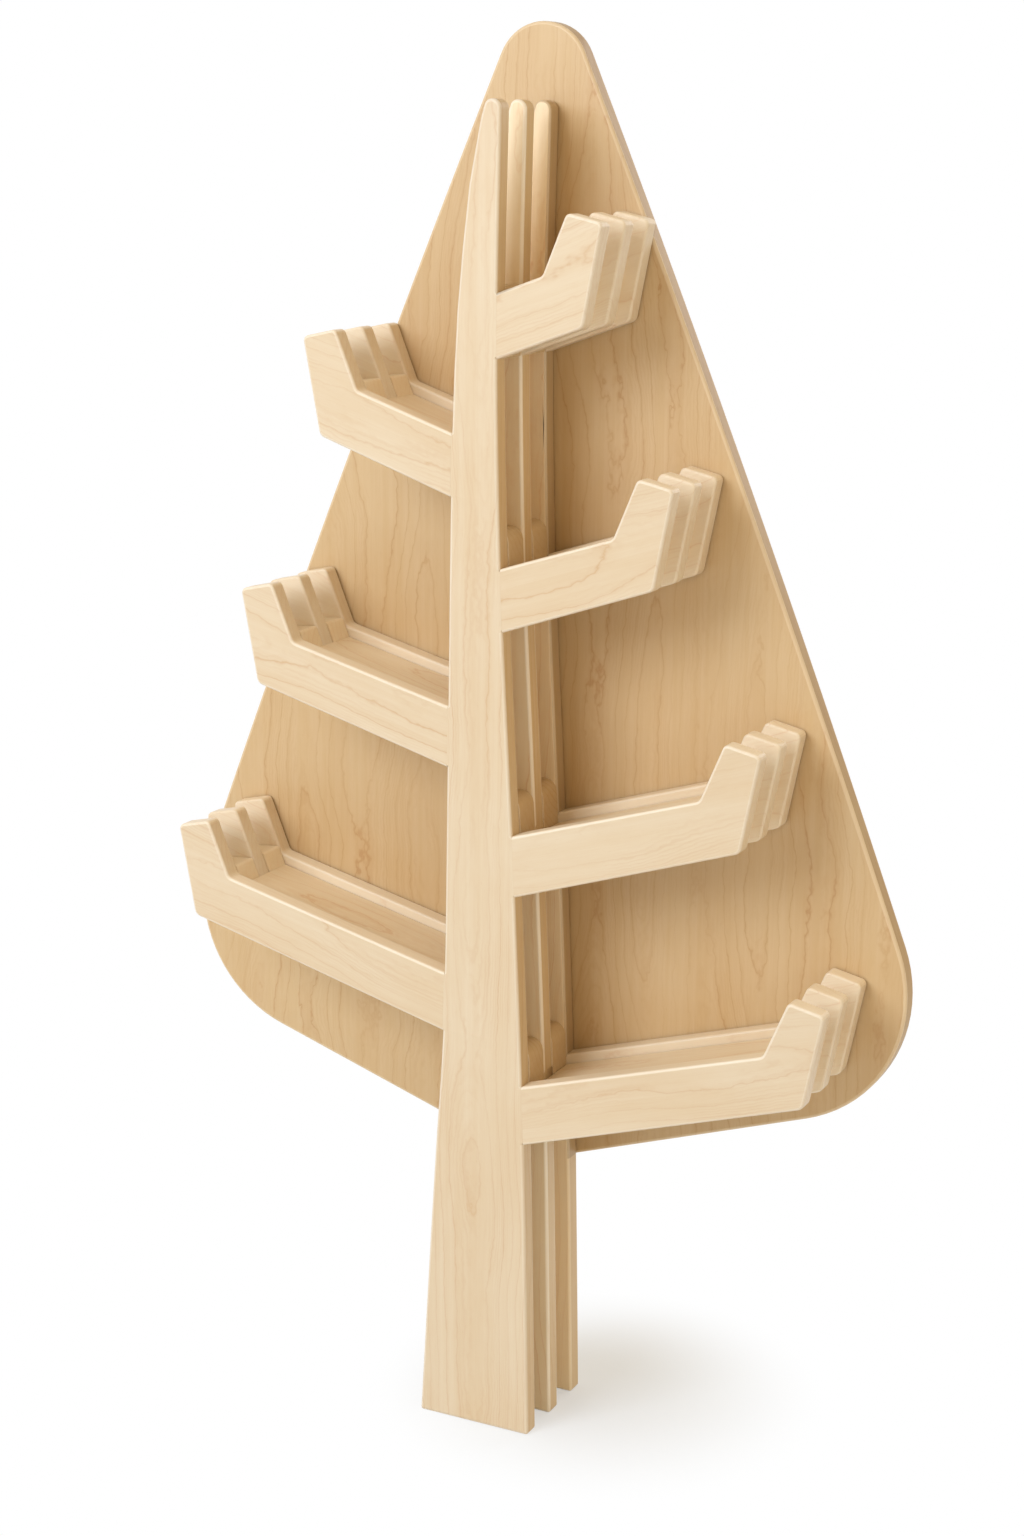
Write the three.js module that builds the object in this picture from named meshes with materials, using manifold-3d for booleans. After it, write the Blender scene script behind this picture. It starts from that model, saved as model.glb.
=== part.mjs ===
// Tree shaped bookshelf: three flat trees one behind the other, with sloping
// book trays between their branches and a rounded triangular panel behind.
// Millimetres, +Z up. The trees face -Y, and the origin is on the floor at the
// centre of the overall depth and of the panel's width.
import * as THREE from "three";
import { mergeVertices } from "three/addons/utils/BufferGeometryUtils.js";
import Module from "manifold-3d";

const wasm = await Module();
wasm.setup();

// Boards
const boardThickness = 22;
const layerGap = 36;
const panelThickness = 24;
const glueLine = 0.3;
const overrun = 5;

// Trunk
const trunkHeight = 1453;
const footHalfWidth = 68;
const trunkTipRadius = 10;
const trunkTipFlat = 1;
const trunkTipStraight = 2 * trunkTipRadius;
const footCornerRadius = 3;
const edgeStation = 60;
// Each point is a share of the trunk's height and of half the foot's width.
const rightEdgeShares = [
  [0, 1],
  [0.12, 0.935],
  [0.239, 0.86],
  [0.432, 0.66],
  [0.55, 0.51],
  [0.66, 0.375],
  [0.78, 0.29],
  [0.87, 0.272],
  [0.94, 0.292],
  [1, 0.315],
];
const leftEdgeShares = [
  [0, -1],
  [0.12, -0.86],
  [0.228, -0.725],
  [0.318, -0.6],
  [0.523, -0.54],
  [0.67, -0.51],
  [0.75, -0.487],
  [0.81, -0.45],
  [0.866, -0.38],
  [0.931, -0.235],
  [0.966, -0.125],
  [0.985, -0.03],
  [1, 0.065],
];

// Branches, lowest first. Each row is the height of the upper root corner as a
// share of the trunk's height, the reach of the inner tip corner from the tree's
// axis as a share of the longest reach, and its rise over the root corner as a
// share of its own reach.
const longestReach = 332;
const rightBranchShares = [
  [0.2842, 1, 0.247],
  [0.4769, 0.765, 0.256],
  [0.6738, 0.458, 0.27],
  [0.8685, 0.208, 0.261],
];
const leftBranchShares = [
  [0.3641, 0.949, 0.222],
  [0.5692, 0.684, 0.2247],
  [0.7688, 0.437, 0.262],
];
const branchOf = ([rootShare, reachShare, riseShare]) => ({
  root: rootShare * trunkHeight,
  reach: reachShare * longestReach,
  rise: riseShare * reachShare * longestReach,
});
const rightBranches = rightBranchShares.map(branchOf);
const leftBranches = leftBranchShares.map(branchOf);
const rootDepth = 67;
const sides = [
  ["right", rightBranches],
  ["left", leftBranches],
];

// Upturned tip, measured from its inner corner
const tipLean = 26;
const tipRise = 63;
const tipWidth = 40;
const tipDrop = 9;
const heelRun = 46;
const heelDrop = 50;
const innerRadius = 8;
const tipRadius = 6;
const heelRadius = 9;

// Tenon on each root, let into the trunk's edge
const tenonThickness = 8;
const tenonHeight = 26;
const tenonLength = 18;
const tenonAboveHeel = 9;
const mortiseEndClearance = 1;

// Trays
const trayRecess = 11;
const trayThickness = 12;

// Tip blocks
const blockRise = 9;
const blockInset = 3;
const blockOuterInset = 20;
const blockRadius = 4;

// Trunk spacers, each from a right branch root to the left root above it
const spacerLip = 38;
const spacerRadius = 14;
const spacerLeftRadius = 4;
const topSpacerLip = 6;
const spacerBendShares = { top: 0.45, end: 0.25 };

// Frame bolts
const boltRadius = 3;
const boltHeadRadius = 7;
const boltHeadHeight = 4;
const boltHeadSink = 0.5;
const boltGrip = 14;
const boltHoleClearance = 0.3;
const boltSides = 16;

// Back panel
const panelHalfWidth = 490;
const panelCornerHeight = 431;
const panelBottomHeight = 267;
const panelPeakHeight = 1611;
const panelSideBow = 14;
const panelCornerRadius = 157;
const panelPeakRadius = 53;
const panelBottomRadius = 60;
const panelSideArcShare = 0.7;

// Depth places
const layerPitch = boardThickness + layerGap;
const treeDepth = 2 * layerPitch + boardThickness;
const totalDepth = treeDepth + panelThickness;
const frontFace = -totalDepth / 2;
const layerNames = ["front", "middle", "rear"];
const gapNames = ["front", "rear"];

// Steps of each rounded corner's arc, where an arc takes twice this number
const arcSteps = { panel: 10, trunk: 4, branch: 2, straight: 1 };

// Finish
const paleMaple = { color: 0xeedab6, roughness: 0.5, metalness: 0 };
const tanMaple = { color: 0xd3b17d, roughness: 0.5, metalness: 0 };
const shadeMaple = { color: 0xdcc093, roughness: 0.5, metalness: 0 };
const zincSteel = { color: 0xb9bcc0, roughness: 0.35, metalness: 1 };

// A smooth value of x at any height, through a table of [height, x] shares.
function edgeThrough(shares) {
  const points = shares.map(([up, out]) => [up * trunkHeight, out * footHalfWidth]);
  const slopes = points.map((point, i) => {
    const before = points[Math.max(i - 1, 0)];
    const after = points[Math.min(i + 1, points.length - 1)];
    return (after[1] - before[1]) / (after[0] - before[0]);
  });
  return (height) => {
    let i = points.findIndex((point) => point[0] >= height);
    i = Math.max(i, 1);
    const [lowZ, lowX] = points[i - 1];
    const [highZ, highX] = points[i];
    const span = highZ - lowZ;
    const u = (height - lowZ) / span;
    const rise = u * u * (3 - 2 * u);
    const lead = (u * u * u - 2 * u * u + u) * span * slopes[i - 1];
    const trail = (u * u * u - u * u) * span * slopes[i];
    return lowX + (highX - lowX) * rise + lead + trail;
  };
}

const edgeOf = { right: edgeThrough(rightEdgeShares), left: edgeThrough(leftEdgeShares) };
const signOf = { right: 1, left: -1 };

// A closed outline from corners [x, z, radius], each rounded by a true arc.
function roundedShape(corners) {
  const shape = new THREE.Shape();
  corners.forEach(([x, z, radius], i) => {
    const here = new THREE.Vector2(x, z);
    const before = corners[(i + corners.length - 1) % corners.length];
    const after = corners[(i + 1) % corners.length];
    const back = new THREE.Vector2(before[0], before[1]).sub(here).normalize();
    const on = new THREE.Vector2(after[0], after[1]).sub(here).normalize();
    const half = Math.acos(THREE.MathUtils.clamp(back.dot(on), -1, 1)) / 2;
    if (!radius) {
      if (i) shape.lineTo(x, z);
      else shape.moveTo(x, z);
      return;
    }
    const run = radius / Math.tan(half);
    const start = here.clone().addScaledVector(back, run);
    const end = here.clone().addScaledVector(on, run);
    const centre = here.clone().add(back.clone().add(on).setLength(radius / Math.sin(half)));
    if (i) shape.lineTo(start.x, start.y);
    else shape.moveTo(start.x, start.y);
    const from = start.clone().sub(centre).angle();
    const to = end.clone().sub(centre).angle();
    const clockwise = back.cross(on) > 0;
    shape.absarc(centre.x, centre.y, radius, from, to, clockwise);
  });
  shape.closePath();
  return shape;
}

// A board standing in the XZ plane: its front is at y = 0 and its back at y = thickness.
function boardGeometry(shape, thickness, curveSegments) {
  const geometry = new THREE.ExtrudeGeometry(shape, {
    depth: thickness,
    bevelEnabled: false,
    curveSegments,
  });
  return geometry.rotateX(Math.PI / 2).translate(0, thickness, 0);
}

function solidOf(geometry) {
  const bare = geometry.clone();
  bare.deleteAttribute("normal");
  bare.deleteAttribute("uv");
  const merged = mergeVertices(bare);
  const vertProperties = merged.getAttribute("position").array;
  const triVerts = new Uint32Array(merged.index.array);
  return new wasm.Manifold(new wasm.Mesh({ numProp: 3, vertProperties, triVerts }));
}

function geometryOf(solid) {
  const mesh = solid.getMesh();
  const geometry = new THREE.BufferGeometry();
  geometry.setAttribute("position", new THREE.BufferAttribute(mesh.vertProperties, 3));
  geometry.setIndex(new THREE.BufferAttribute(mesh.triVerts, 1));
  const flat = geometry.toNonIndexed();
  flat.computeVertexNormals();
  return flat;
}

function named(name, geometry, finish) {
  const mesh = new THREE.Mesh(geometry, new THREE.MeshStandardMaterial(finish));
  mesh.name = name;
  return mesh;
}

function boxSolid(lowX, highX, lowY, highY, lowZ, highZ) {
  const box = new THREE.BoxGeometry(highX - lowX, highY - lowY, highZ - lowZ);
  box.translate((lowX + highX) / 2, (lowY + highY) / 2, (lowZ + highZ) / 2);
  return solidOf(box);
}

// A round bar along Y from one depth to another.
function barSolid(x, z, radius, lowY, highY) {
  const bar = new THREE.CylinderGeometry(radius, radius, highY - lowY, boltSides);
  bar.translate(x, (lowY + highY) / 2, z);
  return solidOf(bar);
}

// The places that follow from one branch: its root, its slopes and its tip.
function branchPlaces(side, branch) {
  const sign = signOf[side];
  const rootTop = branch.root;
  const rootBottom = branch.root - rootDepth;
  const rootTopX = sign * edgeOf[side](rootTop) + glueLine;
  const rootBottomX = sign * edgeOf[side](rootBottom) + glueLine;
  const corner = [branch.reach, rootTop + branch.rise];
  const heel = [corner[0] + heelRun, corner[1] - heelDrop];
  const slope = branch.rise / (branch.reach - rootTopX);
  const heelSlope = (heel[1] - rootBottom) / (heel[0] - rootBottomX);
  return { sign, rootTop, rootBottom, rootTopX, rootBottomX, corner, heel, slope, heelSlope };
}

// The point of a tip's inner face that lies a drop below the branch's top edge.
function innerPoint(places, drop) {
  const lean = tipLean / tipRise;
  const down = -drop / (1 - places.slope * lean);
  return [places.corner[0] + lean * down, places.corner[1] + down];
}

// The point beside the trunk that lies a drop below the branch's top edge.
function rootPoint(places, drop) {
  const x = places.rootTopX + ((places.rootBottomX - places.rootTopX) * drop) / rootDepth;
  return [x, places.rootTop + places.slope * (x - places.rootTopX) - drop];
}

function mirrored(places, corners) {
  return corners.map(([x, z, radius]) => [places.sign * x, z, radius]);
}

// The trunk's edge is straight beside each root, so that root and edge meet flat.
function edgePoints(side, branches) {
  const roots = branches.flatMap((branch) => [branch.root - rootDepth, branch.root]);
  const stops = [0, ...roots.sort((a, b) => a - b), trunkHeight - trunkTipStraight];
  const heights = [];
  stops.forEach((stop, i) => {
    heights.push(stop);
    const besideRoot = i % 2 === 1 && i < stops.length - 1;
    if (besideRoot || i === stops.length - 1) return;
    const steps = Math.round((stops[i + 1] - stop) / edgeStation);
    for (let k = 1; k < steps; k++) heights.push(stop + ((stops[i + 1] - stop) * k) / steps);
  });
  return heights.map((height) => [edgeOf[side](height), height, 0]);
}

function trunkShape() {
  const right = edgePoints("right", rightBranches);
  const left = edgePoints("left", leftBranches).reverse();
  right[0][2] = footCornerRadius;
  left[left.length - 1][2] = footCornerRadius;
  const topRight = [edgeOf.right(trunkHeight), trunkHeight, trunkTipRadius];
  const topLeft = [edgeOf.left(trunkHeight), trunkHeight, leftTipRadius()];
  return roundedShape([...right, topRight, topLeft, ...left]);
}

// The left tip corner is blunter than the right one, and takes the width that the
// right corner's arc and the short flat between them leave.
function leftTipRadius() {
  const top = edgeOf.left(trunkHeight);
  const below = edgeOf.left(trunkHeight - trunkTipStraight);
  const lean = Math.atan((top - below) / trunkTipStraight);
  const run = edgeOf.right(trunkHeight) - top - trunkTipRadius - trunkTipFlat;
  return run * Math.tan((Math.PI / 2 + lean) / 2);
}

// One mortise for each branch, and holes for the bolts: the front trunk's are blind.
function trunkSolid(layer) {
  let solid = solidOf(boardGeometry(trunkShape(), boardThickness, arcSteps.trunk));
  for (const [side, branches] of sides) {
    for (const branch of branches) solid = solid.subtract(tenonSolid(side, branch, true));
  }
  const isFront = layer === 0;
  const holeStart = isFront ? boardThickness - boltGrip - boltHoleClearance : -overrun;
  for (const [x, z] of boltPlaces()) {
    const radius = boltRadius + boltHoleClearance;
    solid = solid.subtract(barSolid(x, z, radius, holeStart, boardThickness + overrun));
  }
  return solid;
}

// The tenon of a branch, or with its clearances the mortise that takes it.
function tenonSolid(side, branch, isMortise) {
  const places = branchPlaces(side, branch);
  const grow = isMortise ? glueLine : 0;
  const inner = places.rootTopX - glueLine - tenonLength - (isMortise ? mortiseEndClearance : 0);
  const outer = places.rootBottomX + overrun;
  const [lowX, highX] = [places.sign * inner, places.sign * outer].sort((a, b) => a - b);
  const middle = boardThickness / 2;
  const half = tenonThickness / 2 + grow;
  const bottom = places.rootBottom + tenonAboveHeel - grow;
  const top = places.rootBottom + tenonAboveHeel + tenonHeight + grow;
  return boxSolid(lowX, highX, middle - half, middle + half, bottom, top);
}

// The middle branches are lower on top and square inside the tip, because the
// tray floors lie on them.
function branchSolid(side, branch, topDrop) {
  const places = branchPlaces(side, branch);
  const { corner, heel } = places;
  const corners = mirrored(places, [
    [...rootPoint(places, topDrop), 0],
    [...innerPoint(places, topDrop), topDrop ? 0 : innerRadius],
    [corner[0] + tipLean, corner[1] + tipRise, tipRadius],
    [corner[0] + tipLean + tipWidth, corner[1] + tipRise - tipDrop, tipRadius],
    [heel[0], heel[1], heelRadius],
    [places.rootBottomX, places.rootBottom, 0],
  ]);
  const board = solidOf(boardGeometry(roundedShape(corners), boardThickness, arcSteps.branch));
  return board.add(tenonSolid(side, branch, false));
}

// A tray floor slopes with its branch, from the trunk to the tip blocks.
function traySolid(side, branch) {
  const places = branchPlaces(side, branch);
  const lower = trayRecess + trayThickness;
  const topEnd = innerPoint(places, trayRecess);
  const bottomEnd = innerPoint(places, lower);
  const bottomRoot = rootPoint(places, lower);
  const topRoot = [bottomRoot[0], bottomRoot[1] + trayThickness];
  const corners = mirrored(places, [
    [...topRoot, 0],
    [topEnd[0] - glueLine, topEnd[1] - places.slope * glueLine, 0],
    [bottomEnd[0] - glueLine, bottomEnd[1] - places.slope * glueLine, 0],
    [...bottomRoot, 0],
  ]);
  const width = layerPitch + layerGap - 2 * glueLine;
  return solidOf(boardGeometry(roundedShape(corners), width, arcSteps.straight));
}

// A tip block fills the gap between two tips: its inner face lines up with
// theirs, its underside lies a little inside them and its outer end well inside.
function tipBlockSolid(side, branch) {
  const places = branchPlaces(side, branch);
  const { corner, heel, heelSlope } = places;
  const lean = tipLean / tipRise;
  const outerLean = (tipLean + tipWidth - heelRun) / (tipRise - tipDrop + heelDrop);
  const outerTop = blockRise - blockInset;
  const topEnd = heel[0] + outerLean * (heelDrop + outerTop) - blockOuterInset;
  const bottomEnd = heel[0] - blockOuterInset;
  const innerDrop = (blockInset - heelDrop - heelSlope * heelRun) / (1 - heelSlope * lean);
  const corners = mirrored(places, [
    [corner[0] + lean * blockRise, corner[1] + blockRise, blockRadius],
    [topEnd, corner[1] + outerTop, blockRadius],
    [bottomEnd, heel[1] - heelSlope * blockOuterInset + blockInset, blockRadius],
    [corner[0] + lean * innerDrop, corner[1] + innerDrop, 0],
  ]);
  const width = layerGap - 2 * glueLine;
  return solidOf(boardGeometry(roundedShape(corners), width, arcSteps.branch));
}

// The point that lies a share of the trunk's width in from one edge.
function trunkPoint(side, height, share) {
  const other = side === "right" ? "left" : "right";
  const edge = edgeOf[side](height);
  return [edge + share * (edgeOf[other](height) - edge), height, 0];
}

// A trunk spacer has a well rounded top at the right root and runs slanting to
// the left root above it, with a level stretch at each end. The topmost right
// root has no left root above it, so its spacer is level all along and lower.
function spacerCorners(index) {
  const right = rightBranches[index];
  const isTopmost = index >= leftBranches.length;
  const left = isTopmost ? right : leftBranches[index];
  const lip = isTopmost ? topSpacerLip : spacerLip;
  const rightRadius = isTopmost ? spacerLeftRadius : spacerRadius;
  const edge = (side, height, radius) => [edgeOf[side](height), height, radius];
  const rightTop = right.root + lip;
  const leftTop = left.root + lip;
  return {
    footBend: trunkPoint("right", right.root - rootDepth, spacerBendShares.end),
    rightFoot: edge("right", right.root - rootDepth, 0),
    rightRoot: edge("right", right.root, 0),
    rightTop: edge("right", rightTop, rightRadius),
    rightBend: trunkPoint("right", rightTop, spacerBendShares.top),
    leftBend: trunkPoint("left", leftTop, spacerBendShares.end),
    leftTop: edge("left", leftTop, spacerLeftRadius),
    leftRoot: edge("left", left.root, 0),
    leftFoot: edge("left", left.root - rootDepth, 0),
  };
}

// Each bolt goes through the wide right end of a spacer.
function boltPlaces() {
  return rightBranches.map((right, index) => {
    const { footBend, rightRoot, rightBend } = spacerCorners(index);
    const around = [footBend, rightRoot, rightBend];
    const mean = (part) => around.reduce((sum, corner) => sum + corner[part], 0) / around.length;
    return [mean(0), mean(1)];
  });
}

function spacerSolid(index) {
  const [x, z] = boltPlaces()[index];
  const width = layerGap - 2 * glueLine;
  const outline = roundedShape(Object.values(spacerCorners(index)));
  const block = solidOf(boardGeometry(outline, width, arcSteps.branch));
  return block.subtract(barSolid(x, z, boltRadius + boltHoleClearance, -overrun, width + overrun));
}

// A bolt turned from its half profile, with a countersunk head at the back.
function boltGeometry() {
  const length = boltGrip + 2 * layerPitch + panelThickness - boltHeadSink;
  const profile = [
    [0, 0],
    [boltRadius, 0],
    [boltRadius, length - boltHeadHeight],
    [boltHeadRadius, length],
    [0, length],
  ];
  return new THREE.LatheGeometry(profile.map(([r, y]) => new THREE.Vector2(r, y)), boltSides);
}

// The cone and hole that take a bolt's head and shank in the panel.
function panelHoleSolid(x, z) {
  const grow = boltHoleClearance;
  const seat = panelThickness - boltHeadSink - boltHeadHeight;
  const profile = [
    [0, -overrun],
    [boltRadius + grow, -overrun],
    [boltRadius + grow, seat],
    [boltHeadRadius + grow, seat + boltHeadHeight],
    [boltHeadRadius + grow, panelThickness + overrun],
    [0, panelThickness + overrun],
  ];
  const cut = new THREE.LatheGeometry(profile.map(([r, y]) => new THREE.Vector2(r, y)), boltSides);
  return solidOf(cut.translate(x, 0, z));
}

// The corners are where the sides would meet if they weren't rounded. Each side
// bows out to a blunt corner at its middle, which a long arc rounds.
function panelCorners() {
  const slope = (panelPeakHeight - panelCornerHeight) / panelHalfWidth;
  const middleX = panelHalfWidth / 2 + panelSideBow;
  const middleZ = (panelPeakHeight + panelCornerHeight) / 2 + panelSideBow / slope;
  const halfSide = Math.hypot(middleX, panelPeakHeight - middleZ);
  const blunt = Math.hypot(panelSideBow, panelSideBow / slope) / halfSide;
  const sideRadius = (panelSideArcShare * halfSide) / blunt;
  return [
    [0, panelBottomHeight, panelBottomRadius],
    [panelHalfWidth, panelCornerHeight, panelCornerRadius],
    [middleX, middleZ, sideRadius],
    [0, panelPeakHeight, panelPeakRadius],
    [-middleX, middleZ, sideRadius],
    [-panelHalfWidth, panelCornerHeight, panelCornerRadius],
  ];
}

function panelSolid() {
  let panel = solidOf(boardGeometry(roundedShape(panelCorners()), panelThickness, arcSteps.panel));
  for (const [x, z] of boltPlaces()) panel = panel.subtract(panelHoleSolid(x, z));
  return panel;
}

// One flat tree: a trunk and its seven branches, standing at its own depth.
function buildTree(layer) {
  const tree = new THREE.Group();
  const name = layerNames[layer];
  const topDrop = name === "middle" ? trayRecess + trayThickness + glueLine : 0;
  tree.position.y = frontFace + layer * layerPitch;
  tree.add(named(`${name}_trunk`, geometryOf(trunkSolid(layer)), paleMaple));
  for (const [side, branches] of sides) {
    branches.forEach((branch, index) => {
      const solid = branchSolid(side, branch, topDrop);
      tree.add(named(`${name}_${side}_branch_${index + 1}`, geometryOf(solid), paleMaple));
    });
  }
  return tree;
}

function buildTrays() {
  const trays = new THREE.Group();
  trays.position.y = frontFace + boardThickness + glueLine;
  for (const [side, branches] of sides) {
    branches.forEach((branch, index) => {
      const solid = traySolid(side, branch);
      trays.add(named(`${side}_tray_floor_${index + 1}`, geometryOf(solid), shadeMaple));
    });
  }
  return trays;
}

// What fills one of the two gaps: the tip blocks and the trunk spacers.
function buildGap(gap) {
  const group = new THREE.Group();
  group.position.y = frontFace + boardThickness + gap * layerPitch + glueLine;
  for (const [side, branches] of sides) {
    branches.forEach((branch, index) => {
      const name = `${side}_tip_block_${gapNames[gap]}_${index + 1}`;
      group.add(named(name, geometryOf(tipBlockSolid(side, branch)), shadeMaple));
    });
  }
  rightBranches.forEach((branch, index) => {
    const name = `trunk_spacer_${gapNames[gap]}_${index + 1}`;
    group.add(named(name, geometryOf(spacerSolid(index)), shadeMaple));
  });
  return group;
}

function buildBack() {
  const back = new THREE.Group();
  back.position.y = frontFace + treeDepth;
  back.add(named("back_panel", geometryOf(panelSolid()), tanMaple));
  boltPlaces().forEach(([x, z], index) => {
    const bolt = named(`frame_bolt_${index + 1}`, boltGeometry(), zincSteel);
    bolt.position.set(x, -2 * layerPitch - boltGrip, z);
    back.add(bolt);
  });
  return back;
}

const bookshelf = new THREE.Group();
layerNames.forEach((name, layer) => bookshelf.add(buildTree(layer)));
gapNames.forEach((name, gap) => bookshelf.add(buildGap(gap)));
bookshelf.add(buildTrays(), buildBack());

export default bookshelf;
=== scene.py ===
import math
import random

import bmesh
import bpy
from mathutils import Matrix, Vector
from mathutils.bvhtree import BVHTree


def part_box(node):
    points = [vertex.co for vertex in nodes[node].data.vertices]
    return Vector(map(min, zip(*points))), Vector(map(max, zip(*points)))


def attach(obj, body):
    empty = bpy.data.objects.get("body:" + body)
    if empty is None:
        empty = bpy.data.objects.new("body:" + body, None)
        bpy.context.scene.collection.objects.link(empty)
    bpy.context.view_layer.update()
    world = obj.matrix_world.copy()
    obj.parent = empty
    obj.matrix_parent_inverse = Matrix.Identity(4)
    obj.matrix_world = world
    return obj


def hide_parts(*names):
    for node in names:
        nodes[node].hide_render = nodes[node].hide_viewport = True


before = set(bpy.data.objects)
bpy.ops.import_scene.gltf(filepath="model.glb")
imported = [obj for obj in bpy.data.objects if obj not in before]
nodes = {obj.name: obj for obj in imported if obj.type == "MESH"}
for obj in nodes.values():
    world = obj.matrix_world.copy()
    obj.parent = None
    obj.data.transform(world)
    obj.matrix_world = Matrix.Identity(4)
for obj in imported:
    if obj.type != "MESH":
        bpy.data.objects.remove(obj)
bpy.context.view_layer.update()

collection = bpy.context.scene.collection
print("frame loaded:", len(nodes), "CAD nodes")


def fromScreen(red, green, blue):
    # a colour as seen on screen, 0 to 255, as the linear one that shaders take
    def linear(part):
        part = part / 255
        return part / 12.92 if part <= 0.04045 else ((part + 0.055) / 1.055) ** 2.4

    return (linear(red), linear(green), linear(blue), 1)


# Shader sums
class Shade:
    # one output of a shader node, which plain sums can be written with

    def __init__(self, tree, socket=None):
        self.tree = tree
        self.socket = socket

    def node(self, kind, settings=None, inputs=None, output=0):
        # a new node beside this one, whose inputs are plain values or other outputs
        made = self.tree.nodes.new(kind)
        for key, value in (settings or {}).items():
            setattr(made, key, value)
        for key, value in (inputs or {}).items():
            if isinstance(value, Shade):
                self.tree.links.new(value.socket, made.inputs[key])
            else:
                made.inputs[key].default_value = value
        return Shade(self.tree, made.outputs[output] if made.outputs else None)

    def apply(self, operation, *others):
        return self.node("ShaderNodeMath", {"operation": operation}, dict(enumerate((self, *others))))

    def __add__(self, other):
        return self.apply("ADD", other)

    def __sub__(self, other):
        return self.apply("SUBTRACT", other)

    def __mul__(self, other):
        return self.apply("MULTIPLY", other)

    def __truediv__(self, other):
        return self.apply("DIVIDE", other)

    def __pow__(self, other):
        return self.apply("POWER", other)

    def part(self, axis):
        return self.node("ShaderNodeSeparateXYZ", None, {0: self}, axis)

    def times(self, factors):
        # each part of this colour or place has its own factor
        return self.node("ShaderNodeVectorMath", {"operation": "MULTIPLY"}, {0: self, 1: factors})

    def span(self, low, high, start=0.0, end=1.0):
        # low to high becomes start to end, and stays there beyond them
        return self.node(
            "ShaderNodeMapRange",
            {"interpolation_type": "SMOOTHSTEP"},
            {"Value": self, "From Min": low, "From Max": high, "To Min": start, "To Max": end},
        )

    def atLeast(self, least):
        # 0 to 1 becomes the least value to 1
        return self * (1 - least) + least

    def ramp(self, stops):
        # grey levels at places from 0 to 1
        made = self.node("ShaderNodeValToRGB", None, {"Fac": self})
        elements = made.socket.node.color_ramp.elements
        while len(elements) < len(stops):
            elements.new(1)
        for element, (place, level) in zip(elements, stops):
            element.position = place
            element.color = (level, level, level, 1)
        return made

    def blend(self, first, second):
        # this value mixes two colours
        return self.node(
            "ShaderNodeMix", {"data_type": "RGBA"}, {0: self, 6: first, 7: second}, output=2
        )

    def noise(self, scales, detail, roughness=0.5, limits=None):
        # noise at this place, and where it has limits, 0 to 1 between them
        made = self.node(
            "ShaderNodeTexNoise",
            {"noise_dimensions": "3D"},
            {"Vector": self.times(scales), "Scale": 1.0, "Detail": detail, "Roughness": roughness},
        )
        return made.span(*limits) if limits else made


def newMaterial(name):
    material = bpy.data.materials.new(name)
    material.use_nodes = True
    tree = material.node_tree
    tree.nodes.clear()
    return material, Shade(tree)


# Maple, drawn as growth rings that a board cuts through. Lengths are in metres.
paleMaple = {
    "base": fromScreen(227, 212, 187),
    "warm": fromScreen(219, 197, 164),
    "line": fromScreen(196, 148, 94),
    "ringSpacing": 0.0075,
    "pithDepth": 0.055,  # how far the log's centre lies behind the board
    "pithDrift": 0.07,  # how much that depth wanders
    "sway": 0.035,  # how much the centre wanders across the board
    "ruffle": 0.0045,  # the rings' own waviness
    "zigzag": 0.0016,
    "figureWidth": 0.0,  # from one set of arches to the next, 0 for a single set
    "lineStrength": 0.56,
    "fineStrength": 0.16,
    # the next five are painted light and shade: painted shade on the sides, painted fill light on inner
    # and upper faces, painted contact shade in grooves, and the strength and colour of a painted
    # highlight
    "sideTint": (0.88, 0.79, 0.63),
    "innerTint": (1.24, 1.25, 1.21),
    "seamTint": (0.42, 0.33, 0.22),
    "arrisLight": 0.42,
    "arrisColour": fromScreen(253, 249, 240),
    "roughness": 0.42,
}
tanMaple = {
    "base": fromScreen(216, 190, 149),
    "warm": fromScreen(208, 177, 131),
    "line": fromScreen(178, 124, 70),
    "ringSpacing": 0.0088,
    "pithDepth": 0.065,
    "pithDrift": 0.11,
    "sway": 0.11,
    "ruffle": 0.007,
    "zigzag": 0.0024,
    "figureWidth": 0.28,
    "lineStrength": 0.6,
    "fineStrength": 0.12,
    # the next five are painted light and shade: painted shade on the sides, painted fill light on inner
    # and upper faces, painted contact shade in grooves, and the strength and colour of a painted
    # highlight
    "sideTint": (0.7, 0.61, 0.36),
    "innerTint": (1.0, 1.0, 1.0),
    "seamTint": (0.42, 0.33, 0.22),
    "arrisLight": 0.4,
    "arrisColour": fromScreen(245, 228, 198),
    "roughness": 0.46,
    # a painted shadow that the trunk casts on the panel's front, right of the trunk
    "joint": {
        "atFloor": 0.0774,  # half the trunk's width as the shade follows it
        "slope": 0.054,  # how much narrower it is for each metre of height
        "narrowest": 0.0195,
        "reach": 0.03,
        "under": 0.012,  # how far the shade goes under the trunk
        "fromFront": (0.001, 0.003),  # where it ends behind the panel's front
        "heights": (1.43, 1.47),  # where it ends at the top
        "tint": (0.86, 0.81, 0.71),
    },
}

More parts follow.
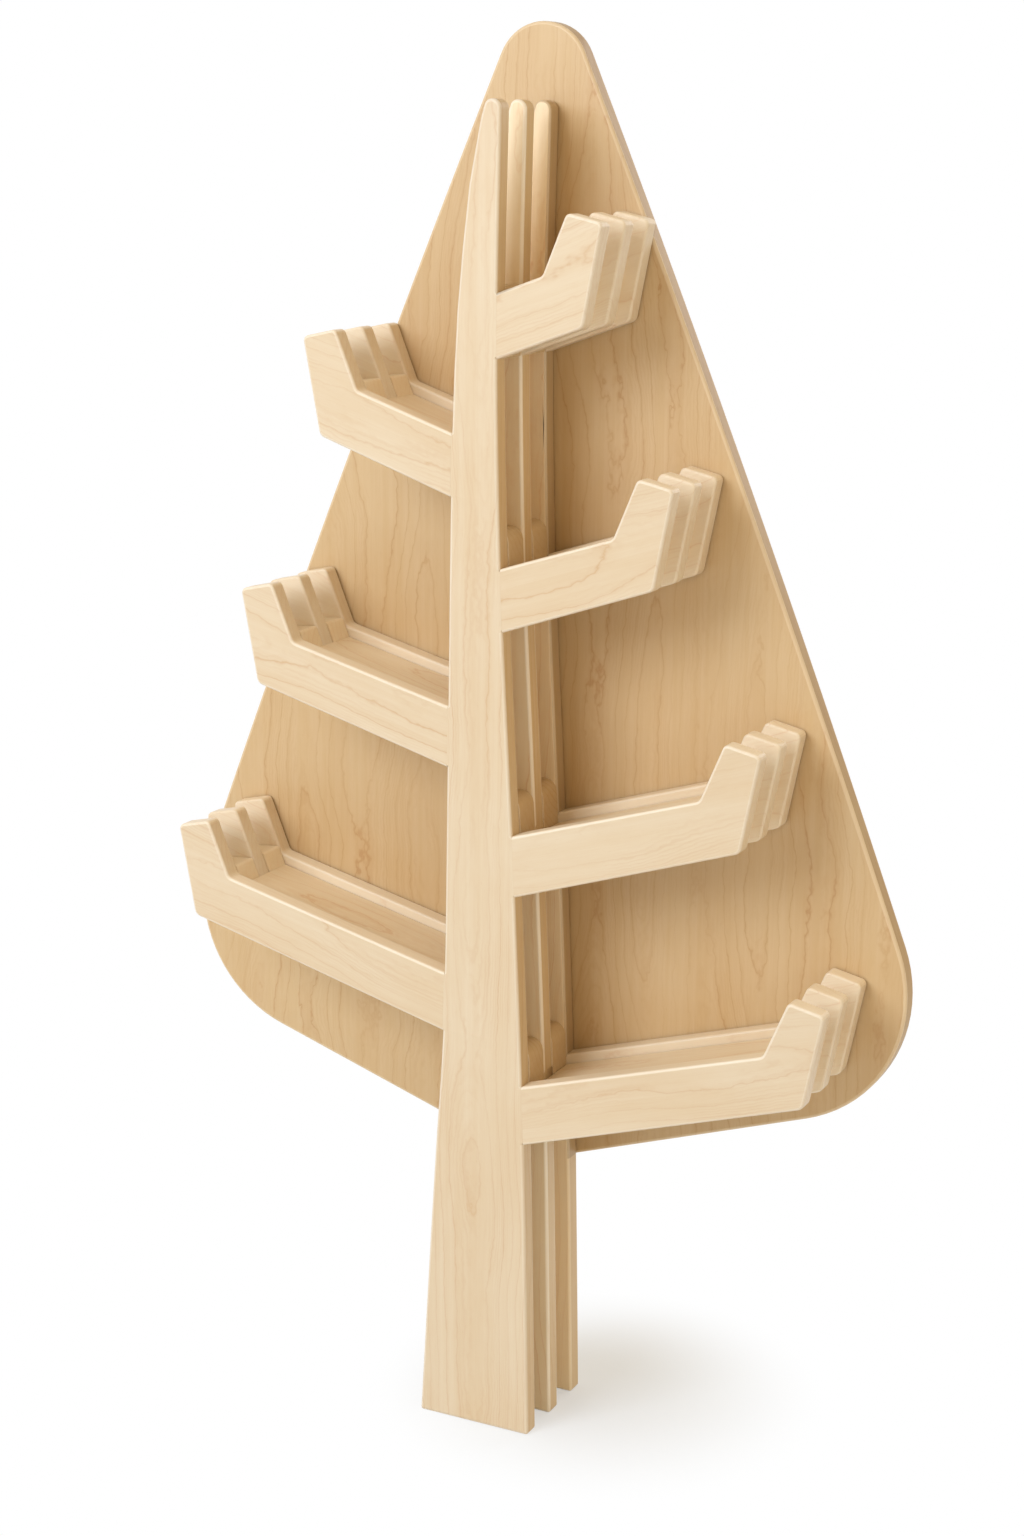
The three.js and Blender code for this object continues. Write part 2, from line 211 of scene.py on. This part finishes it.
# What both kinds share. A noise's scales are its waves in a metre: along the fibres,
# across them and through the board.
woodNoises = {
    "drift": {"scales": (2.1, 0.9, 0.9), "detail": 1.0},
    "sway": {"scales": (4.2, 3.0, 3.0), "detail": 1.5},
    "ruffle": {"scales": (12.0, 26.0, 26.0), "detail": 3.0, "roughness": 0.55},
    "zigzag": {"scales": (90.0, 170.0, 170.0), "detail": 1.0},
    "lineFade": {"scales": (3.5, 12.0, 12.0), "detail": 2.0, "limits": (0.3, 0.62)},
    "fineFade": {"scales": (6.0, 26.0, 26.0), "detail": 2.0, "limits": (0.4, 0.66)},
    "streaks": {"scales": (1.6, 150.0, 150.0), "detail": 3.0, "roughness": 0.55},
    "fibres": {"scales": (28.0, 1100.0, 1100.0), "detail": 3.0, "roughness": 0.6},
    "clouds": {"scales": (5.0, 16.0, 16.0), "detail": 3.0, "roughness": 0.55, "limits": (0.25, 0.75)},
    "mottle": {"scales": (60.0, 130.0, 130.0), "detail": 2.0, "roughness": 0.6},
    "flecks": {"scales": (110.0, 900.0, 900.0), "detail": 1.0, "limits": (0.68, 0.8)},
}
growth = {
    "noiseShift": (23.7, 5.3, 3.1),  # times a board's seed, as are the next three
    "pithShift": 0.05,
    "ringShift": 7,
    "strengthShift": 91,
    "archSpread": 1.4,
    "line": [(0.0, 1.0), (0.035, 0.4), (0.08, 0.08), (0.3, 0.0), (0.8, 0.08), (0.95, 0.25), (1.0, 1.0)],
    "fineLine": [(0.0, 1.0), (0.3, 0.1), (0.7, 0.0), (1.0, 1.0)],
    "fineLinesPerRing": 4.37,
    "leastStrength": 0.2,
    "leastFade": 0.3,
}
figure = {
    "cloudShare": 0.55,
    "streakShare": 0.3,
    "streakLimits": (0.3, 0.7),
    "mottleShare": 0.15,
    "fleckStrength": 0.12,
    "fibreStrength": 0.07,
    "fibreLimits": (0.35, 0.75),
}
lacquer = {
    "fibreRoughness": 0.12,
    "lineRoughness": 0.06,
    "relief": {"fibres": 0.6, "streaks": 0.3, "lines": 0.3},
    "bump": {"Strength": 0.18, "Distance": 0.0004},
    "finish": {"Specular IOR Level": 0.3, "Coat Weight": 0.22, "Coat Roughness": 0.26},
}
# side shade, fill light, highlight and contact shade, all painted light and shade
marks = ("side", "inner", "arris", "seam")  # the face values that a board's mesh carries


def readValue(start, name):
    return start.node("ShaderNodeAttribute", {"attribute_name": name}, output="Fac")


def growthRings(grain, seed, noises, look):
    # how many rings lie between a place and the log's centre, which wanders along the board
    # and so draws the nested arches
    across = grain.part("Y") + (seed - 0.5) * growth["pithShift"]
    across = across + (noises["sway"] - 0.5) * look["sway"]
    if look["figureWidth"]:
        turn = 2 * math.pi / look["figureWidth"]
        across = (across * turn).apply("SINE") * (growth["archSpread"] / turn)
    below = grain.part("Z") + look["pithDepth"] + (noises["drift"] - 0.5) * look["pithDrift"]
    radius = (across * across + below * below) ** 0.5
    for key in ("ruffle", "zigzag"):
        radius = radius + (noises[key] - 0.5) * look[key]
    return radius / look["ringSpacing"] + seed * growth["ringShift"]


def ringLines(rings, seed, noises):
    # each ring ends in a dark line of its own strength that fades in places
    number = rings.apply("FLOOR") + seed * growth["strengthShift"]
    strength = number.node("ShaderNodeTexWhiteNoise", {"noise_dimensions": "1D"}, {"W": number})
    lines = rings.apply("FRACT").ramp(growth["line"]) * strength.atLeast(growth["leastStrength"])
    return lines * noises["lineFade"].atLeast(growth["leastFade"])


def woodColour(rings, lines, noises, look):
    # soft clouds and streaks of two tones, then the rings' lines, finer lines between them,
    # and flecks and fibres
    tone = noises["clouds"] * figure["cloudShare"] + noises["mottle"] * figure["mottleShare"]
    tone = tone + noises["streaks"].span(*figure["streakLimits"]) * figure["streakShare"]
    colour = tone.blend(look["base"], look["warm"])
    fineLines = (rings * growth["fineLinesPerRing"]).apply("FRACT").ramp(growth["fineLine"])
    fibres = noises["fibres"].span(*figure["fibreLimits"]) * figure["fibreStrength"]
    for darker in (
        lines * look["lineStrength"],
        fineLines * noises["fineFade"] * look["fineStrength"],
        noises["flecks"] * figure["fleckStrength"] + fibres,
    ):
        colour = darker.blend(colour, look["line"])
    return colour


def faceTones(start, colour, look):
    # painted light and shade by face: a board's sides get painted shade, inner and upper faces get
    # painted fill light, rounded arrises get a painted highlight, and grooves get painted contact shade
    side, inner, arris, seam = (readValue(start, mark) for mark in marks)
    colour = side.blend(colour, colour.times(look["sideTint"]))
    colour = inner.blend(colour, colour.times(look["innerTint"]))
    colour = (arris * look["arrisLight"]).blend(colour, look["arrisColour"])
    return seam.blend(colour, colour.times(look["seamTint"]))


def paintedTrunkShadow(start, joint):
    # a painted shadow of the trunk on the panel: 1 where the panel's front meets the trunk's right
    # side, less away from it
    place = start.node("ShaderNodeTexCoord", output="Object")
    height = place.part("Z")
    edge = (height * -joint["slope"] + joint["atFloor"]).apply("MAXIMUM", joint["narrowest"])
    away = place.part("X") - edge
    fade = (away.apply("MAXIMUM", 0.0) * (-1 / joint["reach"])).apply("EXPONENT")
    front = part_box("back_panel")[0].y
    atFront = place.part("Y").span(*(front + step for step in joint["fromFront"]), 1.0, 0.0)
    atTrunk = away.span(-joint["under"], 0.0) * height.span(*joint["heights"], 1.0, 0.0)
    return fade * atFront * atTrunk


def makeMaple(name, look):
    material, start = newMaterial(name)
    grain = start.node("ShaderNodeAttribute", {"attribute_name": "grain"}, output="Vector")
    seed = readValue(start, "seed")
    shifts = {axis: seed * shift for axis, shift in zip("XYZ", growth["noiseShift"])}
    shift = start.node("ShaderNodeCombineXYZ", None, shifts)
    place = start.node("ShaderNodeVectorMath", {"operation": "ADD"}, {0: grain, 1: shift})
    noises = {key: place.noise(**settings) for key, settings in woodNoises.items()}
    rings = growthRings(grain, seed, noises, look)
    lines = ringLines(rings, seed, noises)
    colour = faceTones(start, woodColour(rings, lines, noises, look), look)
    # the painted shadow of the trunk on the panel
    if "joint" in look:
        shade = paintedTrunkShadow(start, look["joint"])
        colour = shade.blend(colour, colour.times(look["joint"]["tint"]))
    fibres = noises["fibres"]
    roughness = (fibres - 0.5) * lacquer["fibreRoughness"] + lines * lacquer["lineRoughness"]
    relief = lacquer["relief"]
    height = fibres * relief["fibres"] + noises["streaks"] * relief["streaks"] - lines * relief["lines"]
    bump = start.node("ShaderNodeBump", None, {"Height": height, **lacquer["bump"]})
    surface = start.node(
        "ShaderNodeBsdfPrincipled",
        None,
        {
            "Base Color": colour,
            "Roughness": roughness + look["roughness"],
            "Normal": bump,
            **lacquer["finish"],
        },
    )
    start.node("ShaderNodeOutputMaterial", None, {"Surface": surface})
    return material


maple = makeMaple("maplePale", paleMaple)
panelMaple = makeMaple("mapleTan", tanMaple)
print("maple materials made")

# Zinc of the bolts, with a faint spangle and fine scratches
zincLook = {
    "light": (0.62, 0.63, 0.65, 1),
    "dark": (0.42, 0.43, 0.46, 1),
    "spangle": {"scales": (260.0, 260.0, 260.0), "detail": 2.0, "limits": (0.35, 0.65)},
    "scratches": {"scales": (90.0, 40.0, 1500.0), "detail": 2.0},
    "scratchRoughness": 0.16,
    "roughness": 0.3,
    "bump": {"Strength": 0.2, "Distance": 0.0001},
}


def makeZinc():
    material, start = newMaterial("zincPlate")
    place = start.node("ShaderNodeTexCoord", output="Object")
    spangle = place.noise(**zincLook["spangle"])
    scratches = place.noise(**zincLook["scratches"])
    roughness = (scratches - 0.5) * zincLook["scratchRoughness"] + zincLook["roughness"]
    bump = start.node("ShaderNodeBump", None, {"Height": scratches, **zincLook["bump"]})
    surface = start.node(
        "ShaderNodeBsdfPrincipled",
        None,
        {
            "Base Color": spangle.blend(zincLook["dark"], zincLook["light"]),
            "Roughness": roughness,
            "Metallic": 1.0,
            "Normal": bump,
        },
    )
    start.node("ShaderNodeOutputMaterial", None, {"Surface": surface})
    return material


zinc = makeZinc()
print("zinc made")

# Boards: each is its CAD node's form with its free arrises rounded over
boards = {
    "flat": 1e-5,  # places this near count as one
    "joinAngle": math.radians(0.08),
    "arrisAngle": math.radians(50),
    "sharpAngle": math.radians(38),
    "segments": 4,
    "faceWeight": 100,
    "glueGap": 0.00025,
    "rootSlack": 0.0005,  # past a root's ends
    "rootZone": 0.009,  # from a root's innermost corner
    "towardsTrunk": 0.9,  # least share of the normal, for a root's end
    "boltZone": 0.009,  # round a bolt's axis
    "upward": 0.5,  # least rise of the normal, for an upper face
    "seed": 11,
}
rounding = {
    "trunk": 0.0031,
    "branch": 0.0029,
    "panel": 0.0034,
    "tray": 0.001,
    "block": 0.0012,
    "spacer": 0.0008,
}

# Shares of the painted light and shade. A face in the board's plane takes painted fill light and a
# paler painted light, one square to it takes painted side shade and its own shares of both, and a
# rounded arris takes a painted highlight, at least the least share of it.
plainTone = dict.fromkeys(("inner", "pale", "side", "innerSide", "paleSide", "arris", "leastWorn"), 0)
tones = {
    "trunk": {"side": 1, "inner": 1, "arris": 0.55},
    "branch": {"inner": 0.5, "pale": 0.45, "arris": 0.6, "leastWorn": 0.5},
    "panel": {"side": 1, "arris": 1, "leastWorn": 0.8},
    "tray": {"inner": 0.8, "innerSide": 0.8},
    "block": {"inner": 0.8, "innerSide": 1, "paleSide": 0.4, "arris": 0.4},
    "spacer": {"side": 1, "arris": 0.3},
}
ownTones = {  # of one tree, or of one board in it
    "front": {"inner": 0, "innerSide": 0, "arris": 1, "pale": 0},
    "middle trunk": {"arris": 0.9, "leastWorn": 0.9},
    "rear trunk": {"arris": 0},
}
# painted light on the branches' upper faces, as lit from above
upperFaces = {"inner": 1, "pale": 0.55}  # of the branches
# a painted highlight on the arrises, strongest on those facing up and to the left
paintedHighlightFacing = {"everywhere": 0.5, "left": 0.5, "upper": 0.9}  # which way the lighter arrises face
# painted contact shade on the rear trunk near the panel and in the groove against it
panelContactShade = {"reach": 0.05, "strength": 0.45, "leastTurn": 0.1, "arrisReach": 0.00372}


def frontPlaces(verts):
    # where the corners of a mesh's front face are
    front = min(vert.co.y for vert in verts) + boards["flat"]
    return [vert.co for vert in verts if vert.co.y < front]


def innermostPlace(verts):
    # how far from the tree's middle a board's front face begins
    return min(abs(place.x) for place in frontPlaces(verts))


def rootSpan(nodeName):
    # the upper and the lower height of a branch's root, where its front face meets the trunk
    verts = nodes[nodeName].data.vertices
    zone = innermostPlace(verts) + boards["rootZone"]
    heights = [place.z for place in frontPlaces(verts) if abs(place.x) < zone]
    return max(heights), min(heights)


roots = {
    1: [rootSpan(nodeName) for nodeName in sorted(nodes) if nodeName.startswith("front_right_branch")],
    -1: [rootSpan(nodeName) for nodeName in sorted(nodes) if nodeName.startswith("front_left_branch")],
}
boltAxes = {
    nodeName: sum(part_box(nodeName), Vector()) / 2
    for nodeName in sorted(nodes)
    if nodeName.startswith("frame_bolt")
}


def mergedCopy(nodeName):
    # a CAD node's form with whole flat faces, which can carry the face values
    bm = bmesh.new()
    bm.from_mesh(nodes[nodeName].data)
    for mark in marks:
        bm.faces.layers.float.new(mark)
    bmesh.ops.remove_doubles(bm, verts=bm.verts, dist=boards["flat"])
    bmesh.ops.dissolve_limit(
        bm, angle_limit=boards["joinAngle"], use_dissolve_boundaries=False, verts=[], edges=bm.edges
    )
    bm.normal_update()
    return bm


def closeRoot(bm):
    # the root's end comes up to the trunk, so that no dark gap shows between them
    side = 1 if bm.verts[:][0].co.x > 0 else -1
    innermost = innermostPlace(bm.verts)
    ends = [face for face in bm.faces if face.normal.x * side < -boards["towardsTrunk"]]
    touching = {vert for face in ends for vert in face.verts}
    for vert in touching:
        if innermost - boards["flat"] < abs(vert.co.x) < innermost + boards["rootZone"]:
            vert.co.x -= side * boards["glueGap"]


def cutAtRoots(bm):
    # level cuts at each root's ends, where the rounding of the trunk's arris stops
    for spans in roots.values():
        for level in [height for span in spans for height in span]:
            bmesh.ops.bisect_plane(
                bm,
                geom=bm.verts[:] + bm.edges[:] + bm.faces[:],
                dist=boards["flat"],
                plane_co=(0, 0, level),
                plane_no=(0, 0, 1),
            )


def besideRoot(edge):
    # True where a branch covers the trunk's arris
    slack = boards["rootSlack"]
    for vert in edge.verts:
        side = 1 if vert.co.x > 0 else -1
        if not any(bottom - slack < vert.co.z < top + slack for top, bottom in roots[side]):
            return False
    return True


def isRootEnd(edge, innermost):
    return all(abs(vert.co.x) < innermost + boards["rootZone"] for vert in edge.verts)


def atBolt(edge):
    middle = (edge.verts[0].co + edge.verts[1].co) / 2
    return any(
        math.hypot(middle.x - axis.x, middle.z - axis.z) < boards["boltZone"]
        for axis in boltAxes.values()
    )


def freeArrises(bm, kind):
    # sharp edges of the two faces, but not at a joint or a bolt's hole
    low = min(vert.co.y for vert in bm.verts)
    high = max(vert.co.y for vert in bm.verts)
    innermost = innermostPlace(bm.verts)
    found = []
    for edge in bm.edges:
        onFace = any(
            all(abs(vert.co.y - level) < boards["flat"] for vert in edge.verts)
            for level in (low, high)
        )
        if not onFace or edge.calc_face_angle(0) < boards["arrisAngle"]:
            continue
        if kind == "trunk" and besideRoot(edge):
            continue
        if kind == "branch" and isRootEnd(edge, innermost):
            continue
        if kind in ("trunk", "panel", "spacer") and atBolt(edge):
            continue
        found.append(edge)
    return found


def grainAxes(bm, kind):
    # the ways along the wood's fibres, across them on the board's face and through the board
    if kind in ("trunk", "panel"):
        along = Vector((0, 0, 1))
        across = Vector((1, 0, 0))
    else:
        uppers = [face for face in bm.faces if face.normal.z > boards["upward"]]
        normal = max(uppers, key=lambda face: face.calc_area()).normal
        along = Vector((normal.z, 0, -normal.x)).normalized()
        across = Vector((0, 1, 0)) if kind == "tray" else Vector((-along.z, 0, along.x))
    return along, across, along.cross(across)


panelCopy = mergedCopy("back_panel")
panelTree = BVHTree.FromBMesh(panelCopy)
panelCopy.free()


def hasPanelBehind(face, reach):
    hit = panelTree.ray_cast(face.calc_center_median(), Vector((0, 1, 0)), reach)
    return hit[0] is not None


def markFaces(bm, rounded, nodeName, kind):
    # Every face gets its shares of painted light and shade. The rear trunk's sides get painted shade
    # near the panel, and a rounded arris gets painted contact shade, a dark groove, on a tray and
    # against the panel, and elsewhere a painted highlight.
    side, inner, arris, seam = (bm.faces.layers.float[mark] for mark in marks)
    layer = nodeName.split("_")[0]
    isRear = layer == "rear"
    own = {**ownTones.get(layer, {}), **ownTones.get(f"{layer} {kind}", {})}
    tone = {**plainTone, **tones[kind], **own}
    for face in bm.faces:
        turned = 1 - abs(face.normal.y)
        face[side] = turned * tone["side"]
        face[inner] = (1 - turned) * tone["inner"] + turned * tone["innerSide"]
        face[arris] = (1 - turned) * tone["pale"] + turned * tone["paleSide"]
        # painted light on upward faces of the branches
        if kind == "branch":
            upward = max(face.normal.z, 0.0)
            face[inner] = max(face[inner], upward * upperFaces["inner"])
            face[arris] = max(face[arris], upward * upperFaces["pale"])
        # painted shade on the rear trunk's sides where the panel is behind them
        isTurned = turned > panelContactShade["leastTurn"]
        if kind == "trunk" and isRear and isTurned and hasPanelBehind(face, panelContactShade["reach"]):
            face[seam] = panelContactShade["strength"]
    for face in rounded:
        face[side] = 0
        # painted contact shade in the grooves of trays and against the panel
        if kind == "tray" or (isRear and hasPanelBehind(face, panelContactShade["arrisReach"])):
            face[seam] = 1
        else:
            # a painted highlight, strongest on arrises facing up and to the left
            highlightShare = paintedHighlightFacing["everywhere"] - paintedHighlightFacing["left"] * face.normal.x + paintedHighlightFacing["upper"] * face.normal.z
            face[arris] = tone["arris"] * min(max(highlightShare, tone["leastWorn"]), 1.0)


def markGrain(mesh, axes, seed):
    # each vertex carries its place in the wood, from the board's middle, and the board's seed
    spots = [tuple(vert.co) for vert in mesh.vertices]
    low, high = (Vector(map(pick, zip(*spots))) for pick in (min, max))
    centre = (low + high) / 2
    grain = [(vert.co - centre).dot(axis) for vert in mesh.vertices for axis in axes]
    mesh.attributes.new("grain", "FLOAT_VECTOR", "POINT").data.foreach_set("vector", grain)
    seeds = [seed] * len(mesh.vertices)
    mesh.attributes.new("seed", "FLOAT", "POINT").data.foreach_set("value", seeds)


def camel(nodeName):
    words = nodeName.split("_")
    return words[0] + "".join(word.capitalize() for word in words[1:])


def makeMesh(bm, nodeName, material):
    mesh = bpy.data.meshes.new(camel(nodeName))
    bm.to_mesh(mesh)
    bm.free()
    mesh.shade_smooth()
    mesh.set_sharp_from_angle(angle=boards["sharpAngle"])
    mesh.materials.append(material)
    return mesh


def addPiece(mesh, nodeName):
    piece = bpy.data.objects.new(mesh.name, mesh)
    collection.objects.link(piece)
    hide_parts(nodeName)
    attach(piece, "root")
    return piece


def makeBoard(nodeName, kind, material, seed):
    bm = mergedCopy(nodeName)
    if kind == "branch":
        closeRoot(bm)
    if kind == "trunk":
        cutAtRoots(bm)
    made = bmesh.ops.bevel(
        bm,
        geom=freeArrises(bm, kind),
        offset=rounding[kind],
        offset_type="OFFSET",
        segments=boards["segments"],
        profile=0.5,
        affect="EDGES",
        material=-1,
        clamp_overlap=False,
        loop_slide=False,
    )
    bm.normal_update()
    markFaces(bm, made["faces"], nodeName, kind)
    axes = grainAxes(bm, kind)
    mesh = makeMesh(bm, nodeName, material)
    markGrain(mesh, axes, seed)
    piece = addPiece(mesh, nodeName)
    weighted = piece.modifiers.new("weightedNormals", "WEIGHTED_NORMAL")
    weighted.keep_sharp = True
    weighted.weight = boards["faceWeight"]


# the word in a node's name that tells its kind, spacer first, because those are trunk spacers
kinds = {"spacer": "spacer", "trunk": "trunk", "branch": "branch", "floor": "tray", "block": "block"}
dice = random.Random(boards["seed"])
for nodeName in sorted(nodes):
    words = nodeName.split("_")
    kind = next((kinds[word] for word in kinds if word in words), None)
    if kind:
        makeBoard(nodeName, kind, maple, dice.random())
makeBoard("back_panel", "panel", panelMaple, dice.random())
print("boards made")

# Bolts: a countersunk head with a six-sided socket, and its shank
bolt = {
    "shank": 0.003,
    "head": 0.007,
    "headHeight": 0.004,
    "edge": 0.0003,
    "socket": 0.0024,
    "socketRim": 0.0029,
    "socketDepth": 0.0024,
    "corners": 48,
}


def boltOutline(length):
    # radius and distance from the shank's end, up to the socket's rim
    edge = bolt["edge"]
    return [
        (bolt["shank"] - 2 * edge, 0),
        (bolt["shank"], 2 * edge),
        (bolt["shank"], length - bolt["headHeight"]),
        (bolt["head"] - edge, length - 2 * edge),
        (bolt["head"], length - edge),
        (bolt["head"] - edge, length),
        (bolt["socketRim"], length),
    ]


def pullOut(bm, cap, widening, rise):
    # a new ring above the cap, wider or narrower than the last
    made = bmesh.ops.extrude_face_region(bm, geom=[cap, *cap.edges])
    newCap = next(part for part in made["geom"] if isinstance(part, bmesh.types.BMFace))
    bmesh.ops.scale(bm, vec=(widening, widening, 1), verts=newCap.verts)
    bmesh.ops.translate(bm, vec=(0, 0, rise), verts=newCap.verts)
    return newCap


def makeSixSided(cap):
    sixth = math.pi / 3
    for vert in cap.verts:
        turn = math.atan2(vert.co.y, vert.co.x) % sixth - sixth / 2
        vert.co.xy *= math.cos(sixth / 2) / math.cos(turn)


def orderFaces(bm):
    # extruding leaves the faces in an order that differs from run to run
    bm.verts.index_update()
    inOrder = sorted(bm.faces, key=lambda face: sorted(vert.index for vert in face.verts))
    ranks = {face: rank for rank, face in enumerate(inOrder)}
    bm.faces.sort(key=ranks.get)


def makeBolt(nodeName, axis):
    low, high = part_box(nodeName)
    outline = boltOutline(high.y - low.y)
    bm = bmesh.new()
    bmesh.ops.create_circle(bm, cap_ends=True, radius=outline[0][0], segments=bolt["corners"])
    cap = bm.faces[:][0]
    for (radius, height), (nextRadius, nextHeight) in zip(outline, outline[1:]):
        cap = pullOut(bm, cap, nextRadius / radius, nextHeight - height)
    cap = pullOut(bm, cap, bolt["socket"] / math.cos(math.pi / 6) / bolt["socketRim"], 0)
    makeSixSided(cap)
    pullOut(bm, cap, 1, -bolt["socketDepth"])
    bmesh.ops.rotate(bm, matrix=Matrix.Rotation(-math.pi / 2, 3, "X"), verts=bm.verts)
    bmesh.ops.translate(bm, vec=(axis.x, low.y, axis.z), verts=bm.verts)
    bmesh.ops.recalc_face_normals(bm, faces=bm.faces)
    orderFaces(bm)
    addPiece(makeMesh(bm, nodeName, zinc), nodeName)


for nodeName, axis in boltAxes.items():
    makeBolt(nodeName, axis)
print("bolts made")

# Camera at the photograph's place
cameraLook = {
    "place": (1.206, -2.443, 1.414),
    "azimuth": math.radians(26.25),
    "pitch": math.radians(13.77),
    "roll": math.radians(0.54),
    "lens": 60.19,
    "sensor": 36,
}


def makeCamera():
    turn, tilt, roll = (cameraLook[key] for key in ("azimuth", "pitch", "roll"))
    forward = Vector(
        (-math.sin(turn) * math.cos(tilt), math.cos(turn) * math.cos(tilt), -math.sin(tilt))
    )
    level = Vector((math.cos(turn), math.sin(turn), 0))
    upright = level.cross(forward)
    right = level * math.cos(roll) + upright * math.sin(roll)
    up = upright * math.cos(roll) - level * math.sin(roll)
    axes = Matrix((right, up, -forward)).transposed()
    data = bpy.data.cameras.new("camera")
    data.lens = cameraLook["lens"]
    data.sensor_width = cameraLook["sensor"]
    camera = bpy.data.objects.new("camera", data)
    camera.matrix_world = Matrix.Translation(cameraLook["place"]) @ axes.to_4x4()
    collection.objects.link(camera)
    bpy.context.scene.camera = camera


makeCamera()
print("camera made")

# Floor, lamps and world
stage = {
    "floorSize": 24.0,
    "floorColour": (0.85, 0.915, 1.0, 1),
    "white": (1, 1, 1, 1),
    "shadowMiddle": (0.09, 0.06, 0),
    "whiteNear": 0.36,  # the floor's share of plain white at the shadow's middle
    "whiteFrom": 0.04,
    "whiteTo": 0.27,
    "ambient": 0.59,
    "ambientColour": (1.0, 0.8, 0.53, 1),
    "aim": (0, 0, 0.75),
}
lamps = {
    "key": {"place": (-1.65, -4.0, 2.75), "size": (2.4, 2.4), "power": 110, "tint": (1.0, 1.08, 1.19)},
    "right": {"place": (4.3, -0.4, 1.5), "size": (2.2, 2.0), "power": 24, "tint": (1.0, 0.92, 0.8)},
    "fill": {"place": (3.2, -3.0, 1.7), "size": (2.2, 2.0), "power": 8, "tint": (1.0, 0.92, 0.8)},
    "top": {"place": (-1.0, -2.0, 5.2), "size": (3.0, 2.6), "power": 20, "tint": (0.83, 0.92, 1.06)},
    "back": {"place": (1.6, 4.2, 2.6), "size": (2.4, 2.4), "power": 32, "tint": (0.9, 0.97, 1.08)},
}


def seenDirectly(start):
    # 1 where the camera, or the gloss of a piece, sees the surface itself
    camera = start.node("ShaderNodeLightPath", output="Is Camera Ray")
    gloss = start.node("ShaderNodeLightPath", output="Is Glossy Ray")
    return camera.apply("MAXIMUM", gloss)


def makeFloor():
    bm = bmesh.new()
    bmesh.ops.create_grid(bm, x_segments=1, y_segments=1, size=stage["floorSize"] / 2)
    mesh = bpy.data.meshes.new("floor")
    bm.to_mesh(mesh)
    bm.free()
    floor = bpy.data.objects.new("floor", mesh)
    collection.objects.link(floor)
    material, start = newMaterial("whiteFloor")
    ends = {0: start.node("ShaderNodeTexCoord", output="Object"), 1: stage["shadowMiddle"]}
    away = start.node("ShaderNodeVectorMath", {"operation": "DISTANCE"}, ends, output="Value")
    white = away.span(stage["whiteFrom"], stage["whiteTo"], stage["whiteNear"], 1.0)
    white = white * seenDirectly(start)
    paint = start.node("ShaderNodeBsdfDiffuse", None, {"Color": stage["floorColour"]})
    glow = start.node("ShaderNodeEmission", None, {"Color": stage["white"], "Strength": 1.0})
    surface = start.node("ShaderNodeMixShader", None, {0: white, 1: paint, 2: glow})
    start.node("ShaderNodeOutputMaterial", None, {"Surface": surface})
    mesh.materials.append(material)


def makeLamp(name, look):
    data = bpy.data.lights.new(name, "AREA")
    data.shape = "RECTANGLE"
    data.size, data.size_y = look["size"]
    data.energy = look["power"]
    data.color = look["tint"]
    light = bpy.data.objects.new(name, data)
    light.location = look["place"]
    towards = Vector(stage["aim"]) - light.location
    light.rotation_euler = towards.to_track_quat("-Z", "Y").to_euler()
    collection.objects.link(light)


def makeWorld():
    world = bpy.data.worlds.new("studio")
    world.use_nodes = True
    world.node_tree.nodes.clear()
    start = Shade(world.node_tree)
    seen = seenDirectly(start)
    colour = seen.blend(stage["ambientColour"], stage["white"])
    level = seen.atLeast(stage["ambient"])
    background = start.node("ShaderNodeBackground", None, {"Color": colour, "Strength": level})
    start.node("ShaderNodeOutputWorld", None, {"Surface": background})
    bpy.context.scene.world = world


makeFloor()
for name, look in lamps.items():
    makeLamp(name, look)
makeWorld()
bpy.context.scene.view_settings.view_transform = "Standard"
print("stage made")
